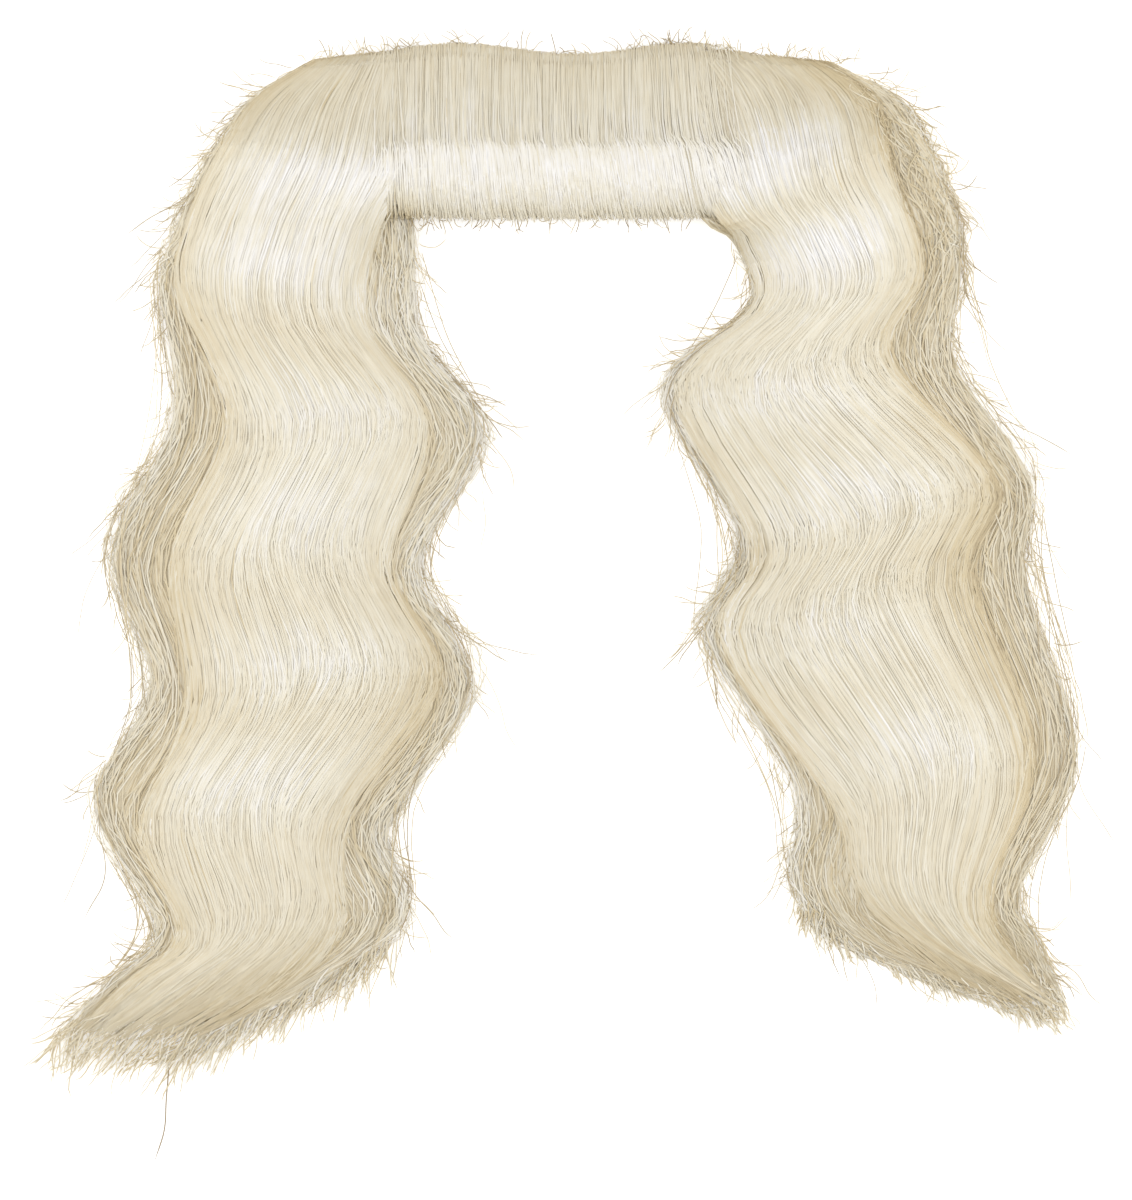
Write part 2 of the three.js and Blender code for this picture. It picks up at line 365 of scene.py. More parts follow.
def strands(name, paths, radius, tone, node):
    """Closed three-sided tubes along paths, an array of strands by stations by 3, as one piece.

    A flat side lies on top and is shaded flat, so that close strands blend into soft combed hair.
    """
    no_length, too_steep = 1e-12, 0.2
    count, stations, _ = paths.shape
    forward = np.gradient(paths, axis=1)
    forward /= np.linalg.norm(forward, axis=2, keepdims=True) + no_length
    side = np.cross(forward, (0.0, 0.0, 1.0))
    steep = np.linalg.norm(side, axis=2, keepdims=True) < too_steep
    side = np.where(steep, np.array((-1.0, 0.0, 0.0)), side)
    side /= np.linalg.norm(side, axis=2, keepdims=True)
    above = np.cross(side, forward)
    angle = np.pi / 6 + 2 * np.pi * np.arange(SIDES) / SIDES
    ring = np.cos(angle)[:, None] * side[:, :, None] + np.sin(angle)[:, None] * above[:, :, None]
    points = paths[:, :, None] + ring * radius[:, :, None, None]

    index = np.arange(count * stations * SIDES).reshape(count, stations, SIDES)
    turned = np.roll(index, -1, axis=2)
    quads = np.stack([index[:, :-1], index[:, 1:], turned[:, 1:], turned[:, :-1]], axis=-1).reshape(-1, 4)
    caps = np.concatenate([index[:, 0], index[:, -1, ::-1]])
    piece = mesh_object(name, points.reshape(-1, 3), quads, caps, HAIR, smooth=False)
    set_attribute(piece, "tone", np.repeat(tone, SIDES, axis=1))
    lay_out(piece, count, stations)
    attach(piece, "root")
    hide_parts(node)


def lay_out(piece, count, stations):
    """A texture layout with a bar for every strand, in bars side by side."""
    bar_proportion, end_margin, side_margin = 28, 0.02, 0.1
    bars = max(2, round((count / bar_proportion) ** 0.5))
    lines = -(-count // bars)
    strand = np.arange(count)
    left, low = (strand % bars) / bars, (strand // bars) / lines
    along = np.linspace(end_margin, 1 - end_margin, stations) / bars
    around = np.linspace(side_margin, 1 - side_margin, SIDES + 1) / lines
    u = left[:, None] + along
    v = low[:, None] + around
    here, there = u[:, :-1, None], u[:, 1:, None]
    near, far = v[:, None, :-1], v[:, None, 1:]
    grid = np.broadcast_arrays(here, near, there, near, there, far, here, far)
    quads = np.stack(grid, axis=-1).reshape(-1, 2)
    ends = []
    for column in (u[:, 0], u[:, -1]):
        corner = np.stack([np.repeat(column[:, None], SIDES, axis=1), v[:, :SIDES]], axis=-1)
        ends.append(corner.reshape(-1, 2))
    layer = piece.data.uv_layers.new(name="OFBake")
    layer.data.foreach_set("uv", np.concatenate([quads, *ends]).astype(np.float32).ravel())


def radii(mean, spread, count, stations):
    """The radii along count strands: a little slimmer at the root, and fine at the tip."""
    taper = np.interp(np.linspace(0, 1, stations), (0, 0.05, 0.85, 1), (0.7, 1, 1, 0.3))
    return mean * rng.uniform(*spread, (count, 1)) * taper


def raised(xy, z, lowest):
    """Points xy at the heights z, none of them below the lowest height."""
    return np.concatenate([xy, np.maximum(z, lowest)[..., None]], axis=-1)


def colour_ramp(nodes, stops):
    ramp = nodes.new("ShaderNodeValToRGB")
    elements = ramp.color_ramp.elements
    while len(elements) < len(stops):
        elements.new(0.5)
    for element, (place, colour) in zip(elements, stops):
        element.position = place
        element.color = (*colour, 1)
    return ramp


def attribute(nodes, name):
    found = nodes.new("ShaderNodeAttribute")
    found.attribute_name = name
    return found.outputs["Fac"]


def toned_material(name, stops, roughness):
    """A material whose colour follows the tone attribute, with the noise that varies it."""
    refraction, reflection, noise_detail, tone_spread = 1.5, 0.3, 2, 0.12
    material = bpy.data.materials.new(name)
    material.use_nodes = True
    nodes, links = material.node_tree.nodes, material.node_tree.links
    shader = nodes["Principled BSDF"]
    shader.inputs["Roughness"].default_value = roughness
    shader.inputs["IOR"].default_value = refraction
    shader.inputs["Specular IOR Level"].default_value = reflection
    noise = nodes.new("ShaderNodeTexNoise")
    noise.inputs["Detail"].default_value = noise_detail
    spread = nodes.new("ShaderNodeMath")
    spread.operation = "MULTIPLY_ADD"
    spread.inputs[1].default_value = tone_spread
    spread.inputs[2].default_value = -tone_spread / 2
    links.new(noise.outputs["Fac"], spread.inputs[0])
    total = nodes.new("ShaderNodeMath")
    links.new(attribute(nodes, "tone"), total.inputs[0])
    links.new(spread.outputs[0], total.inputs[1])
    ramp = colour_ramp(nodes, stops)
    links.new(total.outputs[0], ramp.inputs["Fac"])
    links.new(ramp.outputs["Color"], shader.inputs["Base Color"])
    return material, noise


def add_relief(material, height, strength, distance):
    """Relief on a material from the output of one of its nodes, with the distance in millimetres."""
    nodes, links = material.node_tree.nodes, material.node_tree.links
    relief = nodes.new("ShaderNodeBump")
    relief.inputs["Strength"].default_value = strength
    relief.inputs["Distance"].default_value = distance * MM
    links.new(height, relief.inputs["Height"])
    links.new(relief.outputs["Normal"], nodes["Principled BSDF"].inputs["Normal"])


def hair_material(name, stops):
    """Hair whose colour follows each strand's tone, with a fine mottle along it."""
    mottle_scale = 420
    material, mottle = toned_material(name, stops, roughness=0.33)
    nodes, links = material.node_tree.nodes, material.node_tree.links
    mottle.inputs["Scale"].default_value = mottle_scale
    place = nodes.new("ShaderNodeTexCoord")
    links.new(place.outputs["Object"], mottle.inputs["Vector"])
    return material


def inner_hair_material(name, stops):
    """Packed hair below the strands: fine combed streaks that run along it, in colour and relief."""
    densities = {"across": 130, "along": 9}
    material, streaks = toned_material(name, stops, roughness=0.45)
    nodes, links = material.node_tree.nodes, material.node_tree.links
    streaks.inputs["Scale"].default_value = 1
    comb = nodes.new("ShaderNodeCombineXYZ")
    for axis, (source, density) in enumerate(densities.items()):
        scaled = nodes.new("ShaderNodeMath")
        scaled.operation = "MULTIPLY"
        scaled.inputs[1].default_value = density
        links.new(attribute(nodes, source), scaled.inputs[0])
        links.new(scaled.outputs[0], comb.inputs[axis])
    links.new(comb.outputs["Vector"], streaks.inputs["Vector"])
    add_relief(material, streaks.outputs["Fac"], strength=0.6, distance=0.2)
    return material


# Colours from the darkest strand to the palest
BLOND = (
    (0.0, (0.28, 0.20, 0.10)),
    (0.45, (0.66, 0.557, 0.358)),
    (0.8, (0.80, 0.75, 0.62)),
    (1.0, (0.89, 0.875, 0.86)),
)
HAIR = hair_material("blond_hair", BLOND)
INNER_HAIR = inner_hair_material("inner_hair", BLOND)


def variation(count, s, spread):
    """How each strand's tone differs from the mean along it, with a short dark streak on some of them."""
    streaked_share = 0.12
    own = rng.normal(0, spread, (count, 1)) + waves(s, count, size=0.02, cycles=(1, 3, 6))
    streaked = rng.random((count, 1)) < streaked_share
    centre = rng.random((count, 1))
    length = rng.uniform(0.02, 0.06, (count, 1))
    streak = bump_at(s, centre, length) * rng.uniform(0.1, 0.3, (count, 1))
    return own - streak * streaked


def gather(home, centres, pull):
    """Draws strands some way to the nearest of the clump centres; returns the shift and each clump."""
    nearest = np.abs(home[:, None] - centres).argmin(axis=1)
    return (centres[nearest] - home)[:, None] * pull, nearest


def crimped(tail, t, across):
    """Points along a tail whose waves come a little earlier or later from place to place across it."""
    broad, fine, lean_until, lean_sharpness = 0.006, 0.004, 0.2, 1.5
    shift = broad * np.sin(9 * across + 4 * t) + fine * np.sin(23 * across - 9 * t + 1)
    past_roots = np.minimum(1, 6 * t)
    here = tail.point(t, across)
    there = tail.point(t + shift * past_roots, across)
    lean = tail.root_lean * np.clip(1 - t / lean_until, 0, 1) ** lean_sharpness
    lean = lean * np.interp(across, (0, 0.3, 1), (0.5, 0.85, 0.25))
    return np.stack([there[..., 0] - lean, here[..., 1] - tail.root_slope * lean], axis=-1)


def tail_top(tail):
    """The pale top layer of a tail, in soft clumps that end in ragged tufts."""
    count, clumps, tufts = TOP_STRANDS, 70, 24
    crowding, latest_start, tuft_cut, strand_cut = 0.25, 0.012, 0.02, 0.035
    s = np.linspace(0, 1, TAIL_STATIONS)
    even = (np.arange(count) + rng.random(count)) / count
    home = (1 - crowding) * even + crowding * (1 - np.cos(np.pi * even)) / 2
    centres = np.sort(rng.random(clumps))
    pull, clump = gather(home, centres, np.interp(s, (0, 0.1, 0.8, 1), (0, 0.05, 0.1, 0.1)))
    start = rng.uniform(0.0, latest_start, count)
    end = 1 - tuft_cut * rng.random(tufts)[clump * tufts // clumps] - strand_cut * rng.random(count) ** 1.5
    t = start[:, None] + (end - start)[:, None] * s

    # Wandering: with the clump, alone, far for a few strays, and ragged along the edges clear of the band
    stray_share, edge_reach, overshoot = 0.08, 0.06, 0.15
    share = home[:, None] + pull + waves(s, clumps, size=0.003, cycles=(1.2, 2.6, 5))[clump]
    share += waves(s, count, size=0.005, cycles=(2, 5, 9)) * np.interp(s, (0.75, 0.95), (1, 5))
    stray = rng.random(count) < stray_share
    share[stray] += waves(s, stray.sum(), size=0.02, cycles=(1, 2, 4))
    band_half = (tail.from_band(home) < 0.5)[:, None]
    beside_band = band_half * np.interp(t - tail.leaves_band, (-0.02, 0.06), (1, 0))
    near_edge = np.exp(-np.minimum(home, 1 - home) / edge_reach)[:, None] * (1 - beside_band)
    ragged = near_edge * np.interp(s, (0.6, 0.75), (1, 2))
    tangle = waves(s, clumps, size=0.025, cycles=(2, 4, 7))[clump]
    tangle = tangle + waves(s, count, size=0.012, cycles=(2, 5, 9))
    share = np.clip(share + ragged * tangle, -overshoot, 1 + overshoot)

    # Strands beside the band start among its hair
    mingling, mingling_reach = 0.2, 0.08
    mingled = mingling * rng.random((count, 1)) * np.exp(-tail.from_band(share) / mingling_reach)
    mingled *= np.interp(t - tail.leaves_band, (-0.09, -0.015), (1, 0))
    share += mingled if tail.band_side == 1 else -mingled

    deepest, stray_rise, lowest = 0.2, 0.1, 0.25
    swerve_time, swerve_reach = 0.18, 0.06
    depth = deepest * rng.random(count)
    depth[stray] = -stray_rise
    z = tail.top_height(t, share) - depth[:, None] + waves(s, count, size=0.05, cycles=(3, 7, 12))
    xy = crimped(tail, t, tail.top_across(t, share))
    xy[..., 0] += tail.swerve * bump_at(t, swerve_time, swerve_reach) * (1 - share) ** 2
    paths = raised(xy, z, lowest)
    radius = radii(STRAND_RADIUS, (0.75, 1.25), count, TAIL_STATIONS)

    # Tones: the painted shine comes early or late by strand and clump, and clumps differ most at the tip and
    # edges
    strand_shift, clump_shift = 0.005, 0.007
    edge_clump_spread, edge_strand_spread = 0.05, 0.1
    early = rng.normal(0, strand_shift, (count, 1)) + rng.normal(0, clump_shift, clumps)[clump][:, None]
    streaky = np.interp(t, (0.76, 0.9), (0.015, 0.06)) + edge_clump_spread * near_edge
    tone = tail.tone(t + early, share) + rng.normal(0, 1, clumps)[clump][:, None] * streaky
    tone += variation(count, s, spread=0.03) + rng.normal(0, edge_strand_spread, (count, 1)) * near_edge
    for part in (1, 2):
        every_other = slice(part - 1, None, 2)
        name = f"{tail.name}_top_hair_{part}"
        strands(name, paths[every_other], radius[every_other], tone[every_other], tail.node)


def tail_under(tail):
    """The tan under layer of a tail, tangled where it shows along both edges."""
    count, clumps, reach = UNDER_STRANDS, 40, 0.34
    latest_start, clump_cut, strand_cut = 0.02, 0.02, 0.04
    s = np.linspace(0, 1, TAIL_STATIONS)
    even = rng.random(count)
    home = np.where(np.arange(count) % 2 == 0, reach * even, 1 - reach * even)
    centres = np.concatenate([reach * rng.random(clumps // 2), 1 - reach * rng.random(clumps // 2)])
    pull, clump = gather(home, centres, np.interp(s, (0, 0.1, 0.8, 1), (0, 0.05, 0.15, 0.5)))
    start = rng.uniform(0.0, latest_start, count)
    end = 1 - clump_cut * rng.random(clumps)[clump] - strand_cut * rng.random(count)
    t = start[:, None] + (end - start)[:, None] * s

    wild_share, deepest, wild_rise, lowest = 0.15, 0.4, 0.3, 0.15
    across = home[:, None] + pull + waves(s, clumps, size=0.012, cycles=(2, 5, 9))[clump]
    across += waves(s, count, size=0.018, cycles=(3, 7, 12))
    wild = rng.random(count) < wild_share
    across[wild] += waves(s, wild.sum(), size=0.04, cycles=(2, 4, 8))
    across = turned_back(across, EDGE_INSET)
    depth = deepest * rng.random(count)
    depth[wild] = -wild_rise
    z = tail.under_height(t, across) - depth[:, None] + waves(s, count, size=0.15, cycles=(3, 7, 12))
    paths = raised(crimped(tail, t, across), z, lowest)
    radius = radii(STRAND_RADIUS, (0.75, 1.3), count, TAIL_STATIONS)

    # Tones: tan, painted lighter towards the edges, with a painted shadow beside the top layer, darkest at
    # the roots, and a little darker at the tip
    mean, palest, clump_spread = 0.6, 0.74, 0.04
    top_layer_shadow, top_layer_shadow_reach = 0.08, 0.03
    root_dark, root_reach = 0.2, 0.006
    tip_dark, tip_from, tip_span = 0.06, 0.8, 0.15
    tone = np.minimum(mean + variation(count, s, spread=0.1), palest)
    tone = tone + rng.normal(0, clump_spread, clumps)[clump][:, None]
    start, end = np.moveaxis(curve(tail.cover, t), -1, 0)
    beyond = np.maximum(start - across, across - end)
    tone += tail.fringe(t, across) - top_layer_shadow * np.exp(-np.maximum(beyond, 0) / top_layer_shadow_reach)
    tone -= root_dark * np.exp(-t / root_reach) + tip_dark * np.clip((t - tip_from) / tip_span, 0, 1)
    tone = np.minimum(tone, PALEST_UNDER)
    strands(f"{tail.name}_under_hair", paths, radius, tone, tail.node)


def turned_back(across, inset):
    """Shares across a row, with those that stray past either edge turned back inside it."""
    across = inset + np.abs(across - inset)
    return 1 - inset - np.abs(1 - inset - across)


def tail_frizz(tail):
    """The frizz along both edges of a tail: short wavy hairs tangled with each other."""
    count, stations = 330, 25
    band_until, moved_on, margin, lowest = 0.24, 0.3, 0.015, 0.15
    mean, palest = 0.65, 0.78
    s = np.linspace(0, 1, stations)
    at_left = rng.random((count, 1)) < 0.5
    first = rng.uniform(0.02, 0.9, (count, 1))
    first[(at_left == (tail.band_side == 0)) & (first < band_until)] += moved_on
    t = np.minimum(first + rng.uniform(0.06, 0.15, (count, 1)) * s, 1)
    inset = rng.uniform(-0.005, 0.07, (count, 1)) + waves(s, count, size=0.016, cycles=(1, 2.5, 5))
    across = np.where(at_left, inset, 1 - inset)
    z = tail.under_height(t, np.clip(across, margin, 1 - margin)) + rng.uniform(-0.5, 0.3, (count, 1))
    z += waves(s, count, size=0.3, cycles=(1, 2.5, 5))
    paths = raised(crimped(tail, t, across), z, lowest)
    radius = radii(STRAND_RADIUS, (0.5, 0.95), count, stations)
    # the fringe paints light on the edges, and the rim's painted shade on the inner side
    tone = np.minimum(mean + variation(count, s, spread=0.1), palest) + tail.fringe(t, across)
    tone = np.minimum(tone, PALEST_UNDER)
    strands(f"{tail.name}_frizz", paths, radius, tone, tail.node)


def outer_lock(tail):
    """The tangled tan lock along the outer edge of the right tail's shoulder, with a painted shadow along
    the seam inside it.
    """
    count, seam_count, stations = 120, 24, 22
    mean, palest, seam_shadow, lowest = 0.54, 0.72, 0.14, 0.3
    s = np.linspace(0, 1, stations)
    t = rng.uniform(0.0, 0.24, (count, 1)) + rng.uniform(0.08, 0.2, (count, 1)) * s
    across = 1 - rng.uniform(-0.015, 0.15, (count, 1)) + waves(s, count, size=0.03, cycles=(1, 2, 4))
    seam = np.arange(count) < seam_count
    along_seam = tail.top_across(t, np.ones(t.shape))[seam]
    across[seam] = along_seam + waves(s, seam_count, size=0.012, cycles=(1, 2, 4))
    z = tail.height(t, np.clip(across, 0.0, 1.0)) + rng.uniform(-0.2, 0.5, (count, 1))
    z = z + waves(s, count, size=0.2, cycles=(1, 2, 4))
    paths = raised(crimped(tail, t, across), z, lowest)
    radius = radii(STRAND_RADIUS, (0.6, 1.1), count, stations)
    tone = np.minimum(mean + variation(count, s, spread=0.1), palest)
    tone[seam] -= seam_shadow
    strands(f"{tail.name}_outer_lock", paths, radius, tone, tail.node)


def body_of_rings(name, loop, tone, node):
    """A closed body of packed hair through rings of points, an array of rings by points by 3.

    The first half of each ring is the combed top, with its tones; the other half runs back below it.
    """
    rings, around, _ = loop.shape
    half = around // 2
    index = np.arange(rings * around).reshape(rings, around)
    turned = np.roll(index, -1, axis=1)
    wall = np.stack([index[:-1], index[1:], turned[1:], turned[:-1]], axis=-1).reshape(-1, 4)
    caps = []
    for ring, order in ((index[0], 1), (index[-1], -1)):
        top, low = ring[:half], ring[half:][::-1]
        cap = np.stack([top[:-1], top[1:], low[1:], low[:-1]], axis=-1)
        caps.append(cap[:, ::order])
    quads = np.concatenate([wall, *caps])
    no_triangles = np.empty((0, 3), int)
    piece = mesh_object(name, loop.reshape(-1, 3), quads, no_triangles, INNER_HAIR, smooth=True)
    set_attribute(piece, "tone", np.concatenate([tone, tone[:, ::-1]], axis=1))
    across = np.concatenate([np.arange(half), np.arange(half)[::-1]]) / half
    set_attribute(piece, "across", np.tile(across, rings))
    set_attribute(piece, "along", np.repeat(np.linspace(0, 1, rings), around))
    lay_out_body(piece, rings, around)
    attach(piece, "root")
    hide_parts(node)


def lay_out_body(piece, rings, around):
    """A texture layout for a body of rings: its wall as one sheet, with its two ends in a strip below."""
    strip, gap, end_length = 0.03, 0.01, 0.49
    u = np.linspace(0, 1, around + 1)
    v = np.linspace(strip + gap, 1, rings)
    near, far = v[:-1, None], v[1:, None]
    left, right = u[None, :-1], u[None, 1:]
    wall = np.stack(np.broadcast_arrays(left, near, left, far, right, far, right, near), axis=-1)
    place = np.linspace(0, end_length, around // 2)
    low, high = np.zeros(len(place) - 1), np.full(len(place) - 1, strip)
    ends = []
    for offset in (0, 0.5):
        left, right = place[:-1] + offset, place[1:] + offset
        ends.append(np.stack([left, low, right, low, right, high, left, high], axis=-1).reshape(-1, 2))
    layer = piece.data.uv_layers.new(name="OFBake")
    corners = np.concatenate([wall.reshape(-1, 2), *ends])
    layer.data.foreach_set("uv", corners.astype(np.float32).ravel())


def tail_core(tail):
    """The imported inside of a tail, just under its strands, and lower at a corner that sinks."""
    stations, places = 70, 45
    first, last = 0.016, 0.965
    sunk, thinnest, edge_rise, floor = 0.14, 0.2, 0.1, 0.15
    edge, smoothing = 2 * EDGE_INSET, 0.006
    t = np.repeat(np.linspace(first, last, stations)[:, None], places, axis=1)
    across = edge + (1 - 2 * edge) * (1 - np.cos(np.linspace(0, np.pi, places))) / 2
    across = 0.5 + (across - 0.5) * np.interp(t, (0.9, 0.96), (1, 0.85))
    xy = tail.point(t, across)
    over_strip = (np.abs(xy[..., 0]) < STRIP_ROOM[0]) & (np.abs(xy[..., 1]) < STRIP_ROOM[1])
    bottom = np.where(over_strip, CLEAR_OF_STRIP, floor)
    thinned = np.interp(t, (first, 0.03, 0.93, last), (0.6, 1, 1, 0.7))
    lowest = np.minimum.reduce([tail.height(t, across + step) for step in (-smoothing, 0, smoothing)])

    corner_late, corner_width, corner_time, below_under = 0.02, 0.1, 0.05, 0.2
    past_corner = (t - tail.leaves_band - corner_late) / corner_time
    corner = np.exp(-((tail.from_band(across) / corner_width) ** 4)) * np.exp(-(past_corner**4))
    corner *= tail.corner > 0
    lowest += (tail.under_height(t, across) - below_under - lowest) * corner
    top = np.maximum(bottom + (lowest - sunk - bottom) * thinned, bottom + thinnest)
    top[:, (0, -1)] = bottom[:, (0, -1)] + edge_rise
    xy = crimped(tail, t, across)
    upper = np.concatenate([xy, top[..., None]], axis=2)
    lower = np.concatenate([xy, bottom[..., None]], axis=2)[:, ::-1]

    tan = 0.6
    start, end = np.moveaxis(curve(tail.cover, t), -1, 0)
    # the core takes the top layer's tone, painted highlights and shade included, and turns tan beyond the
    # cover and at the corner
    pale = tail.tone(t, np.clip((across - start) / (end - start), 0, 1))
    beyond = np.maximum(start - across, across - end)
    tone = pale + (tan - pale) * np.maximum(np.interp(beyond, (-0.05, -0.01), (0, 1)), corner)
    body_of_rings(f"{tail.name}_inner_hair", np.concatenate([upper, lower], axis=1), tone, tail.node)


def band_paths(x, s):
    """The band's surface below each x, at shares s of the way from the roots to the curled hem."""
    fading = 1.6
    yz = curve(list(BAND_SURFACE.values()), s)
    peak = PEAK_RISE * np.cos(2 * np.pi * (x - PEAK_CENTRE) / PEAK_SPACING)
    y = yz[..., 0] + peak * np.clip(1 - fading * s, 0, 1)
    return np.stack([x, y, yz[..., 1]], axis=-1)


def band_hair():
    """The short hair of the lip band, combed straight down and rolled under at the hem."""
    count, clumps = BAND_STRANDS, 110
    end_width, end_spread = 7, 2.8
    share = np.linspace(0, 1, BAND_STATIONS)
    home = BAND_LEFT + (BAND_RIGHT - BAND_LEFT) * (np.arange(count) + rng.random(count)) / count
    near_end = np.minimum(home - BAND_LEFT, BAND_RIGHT - home) < end_width
    home += rng.normal(0, end_spread, count) * near_end
    s = rng.uniform(0.88, 1.0, count)[:, None] * share
    s = s + waves(share, count, size=0.02, cycles=(0.5, 1, 2)) * share

    # Across: clumps, a lean of each strand's own, combed to the right, and fanned out at the right end
    lean_spread, fan, fan_from, fan_span = 1.0, 5.0, 4, 15
    centres = np.sort(rng.uniform(BAND_LEFT, BAND_RIGHT, clumps))
    pull, clump = gather(home, centres, np.interp(share, (0, 0.6, 1), (0, 0.1, 0.4)))
    pull *= ~near_end[:, None]
    lean = rng.normal(0, lean_spread, count)[:, None] * share
    lean = lean + waves(share, count, size=0.2, cycles=(0.6, 1.4, 3))
    combed = np.interp(s, (0, 0.35, 0.85), (0, 0, 1)) * np.interp(home, (-24, -10), (0.6, 2.4))[:, None]
    fanned = fan * np.clip((home - fan_from) / fan_span, 0, 1)[:, None] ** 2 * np.interp(s, (0, 0.9), (0, 1))
    paths = band_paths(home[:, None] + lean + pull + combed + fanned, s)

    # Height and length: strands lie a little above or below each other, and end at uneven places
    end_rise, deepest, lowest = 0.1, 0.2, 0.2
    broad, fine, shoulder_spread, hem_spread, strand_spread = 0.35, 0.25, 0.3, 0.3, 0.15
    lift = end_rise * rng.random((count, 1)) * near_end[:, None]
    paths[..., 2] = np.maximum(paths[..., 2] + lift - deepest * rng.random((count, 1)), lowest)
    wander = broad * np.sin(0.9 * home + 1) + fine * np.sin(2.3 * home)
    wander = wander + rng.normal(0, shoulder_spread, count)
    paths[..., 1] += wander[:, None] * np.interp(s, (0.15, 0.38, 0.5, 0.7), (0, 1, 1, 0))
    paths[..., 1] += np.interp(share, (0, 0.6, 1), (0, 0, 1)) * rng.normal(0, hem_spread, (count, 1))
    paths[..., 1] += rng.normal(0, strand_spread, (count, 1))
    radius = radii(STRAND_RADIUS, (0.7, 1.15), count, BAND_STATIONS)

    # Tones: a painted highlight on the shoulder, darker roots and hem, and a painted shadow in the left
    # corner
    mean, clump_spread, shoulder_highlight, corner_shadow = 0.785, 0.015, 0.1, 0.25
    root_dark, root_reach, hem_dark, hem_from, hem_span = 0.3, 0.06, 0.15, 0.74, 0.15
    tone = mean + variation(count, share, spread=0.025) + rng.normal(0, clump_spread, clumps)[clump][:, None]
    tone += shoulder_highlight * np.interp(s, (0.37, 0.53, 0.58, 0.75), (0, 1, 1, 0))
    tone -= root_dark * np.exp(-s / root_reach) + hem_dark * np.clip((s - hem_from) / hem_span, 0, 1)
    tone -= np.interp(s, (0.05, 0.14, 0.3), (0.1, 0.1, -0.02))
    corner = np.interp(home, (-24, -22.5), (1, 0))[:, None] * np.interp(s, (0.62, 0.8), (0, 1))
    strands("band_hair", paths, radius, tone - corner_shadow * corner, "lip_band")


def band_core():
    """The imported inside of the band, kept clear of the strip and run on a little into the right tail."""
    rings, places = 40, 41
    sunk, thinnest, lowest_y, into_tail, tone = 0.2, 0.2, -12.2, 1.2, 0.77
    x = np.linspace(BAND_RIGHT + into_tail, BAND_LEFT, rings)
    s = np.linspace(0.02, 0.9, places)
    upper = band_paths(np.repeat(x[:, None], places, axis=1), np.repeat(s[None], rings, axis=0))
    upper[..., 2] = np.maximum(upper[..., 2] - sunk, CLEAR_OF_STRIP + thinnest)
    upper[..., 1] = np.maximum(upper[..., 1], lowest_y)
    lower = upper[:, ::-1].copy()
    lower[..., 2] = CLEAR_OF_STRIP
    loop = np.concatenate([upper, lower], axis=1)
    body_of_rings("band_inner_hair", loop, np.full((rings, places), tone), "lip_band")


def loose_paths(start, height, heading, length, curl, stations):
    """Loose hairs from start points, each running off along its heading and turning by curl."""
    lowest = 0.15
    s = np.linspace(0, 1, stations)
    count = len(start)
    turn = heading[:, None] + curl[:, None] * s + waves(s, count, size=0.25, cycles=(0.8, 1.6, 3)) * s
    step = (length / (stations - 1))[:, None]
    x = start[:, :1] + np.cumsum(np.cos(turn) * step, axis=1)
    y = start[:, 1:] + np.cumsum(np.sin(turn) * step, axis=1)
    z = height[:, None] + waves(s, count, size=0.6, cycles=(0.6, 1.2, 2)) * s
    return raised(np.stack([x, y], axis=-1), z, lowest)


def loose_strands(name, paths, thickness, tones, node):
    count, stations, _ = paths.shape
    radius = radii(LOOSE_RADIUS * thickness, (0.8, 1.3), count, stations)
    tone = rng.uniform(*tones, count)[:, None] * np.ones(stations)
    strands(name, paths, radius, tone, node)


def edge_hairs(tail, count, span, length, lean, curl, stations):
    """Hairs that leave a tail's edges at random places, leaning out from the way the hair runs."""
    band_until, moved_on = 0.27, 0.3
    at_left = rng.random(count) < 0.5
    t = rng.uniform(*span, count)
    inset = rng.uniform(0.0, 0.05, count)
    across = np.where(at_left, inset, 1 - inset)
    beside_band = (at_left if tail.band_side == 0 else ~at_left) & (t < band_until)
    t[beside_band] += moved_on
    outward = np.where(at_left, -1, 1)
    heading = tail.heading(t, across) + outward * np.radians(rng.uniform(*lean, count))
    height = tail.under_height(t, across) * rng.uniform(0.6, 1.2, count)
    bend = np.radians(rng.normal(0, curl, count))
    start = tail.point(t, across)
    return loose_paths(start, height, heading, rng.uniform(*length, count), bend, stations)


def bridging_hairs(tail, count, stations):
    """Hairs that run straighter than the waves, so that they stand off from the edge between its crests."""
    lowest = 0.15
    s = np.linspace(0, 1, stations)
    at_left = rng.random((count, 1)) < 0.5
    t = rng.uniform(0.27, 0.85, (count, 1)) + rng.uniform(0.06, 0.16, (count, 1)) * s
    inset = rng.uniform(-0.02, 0.03, (count, 1))
    across = np.where(at_left, inset, 1 - inset) + waves(s, count, size=0.006, cycles=(1, 2, 4))
    wavy = tail.point(np.minimum(t, 1), across)
    straight = wavy[:, :1] + (wavy[:, -1:] - wavy[:, :1]) * s[:, None]
    xy = wavy + (straight - wavy) * rng.uniform(0.2, 0.9, (count, 1, 1))
    z = rng.uniform(0.4, 3.0, (count, 1)) + waves(s, count, size=0.4, cycles=(0.6, 1.2, 2))
    return raised(xy, z, lowest)


def root_hairs(tail, count, stations):
    """Short hairs that stick up from the roots of a tail."""
    root_time, root_height, curl = 0.01, 2.0, 0.9
    across = rng.random(count)
    start = tail.point(np.full(count, root_time), across)
    heading = np.radians(rng.uniform(15, 165, count))
    length = rng.uniform(1.2, 3.4, count)
    height = np.full(count, root_height)
    return loose_paths(start, height, heading, length, rng.normal(0, curl, count), stations)


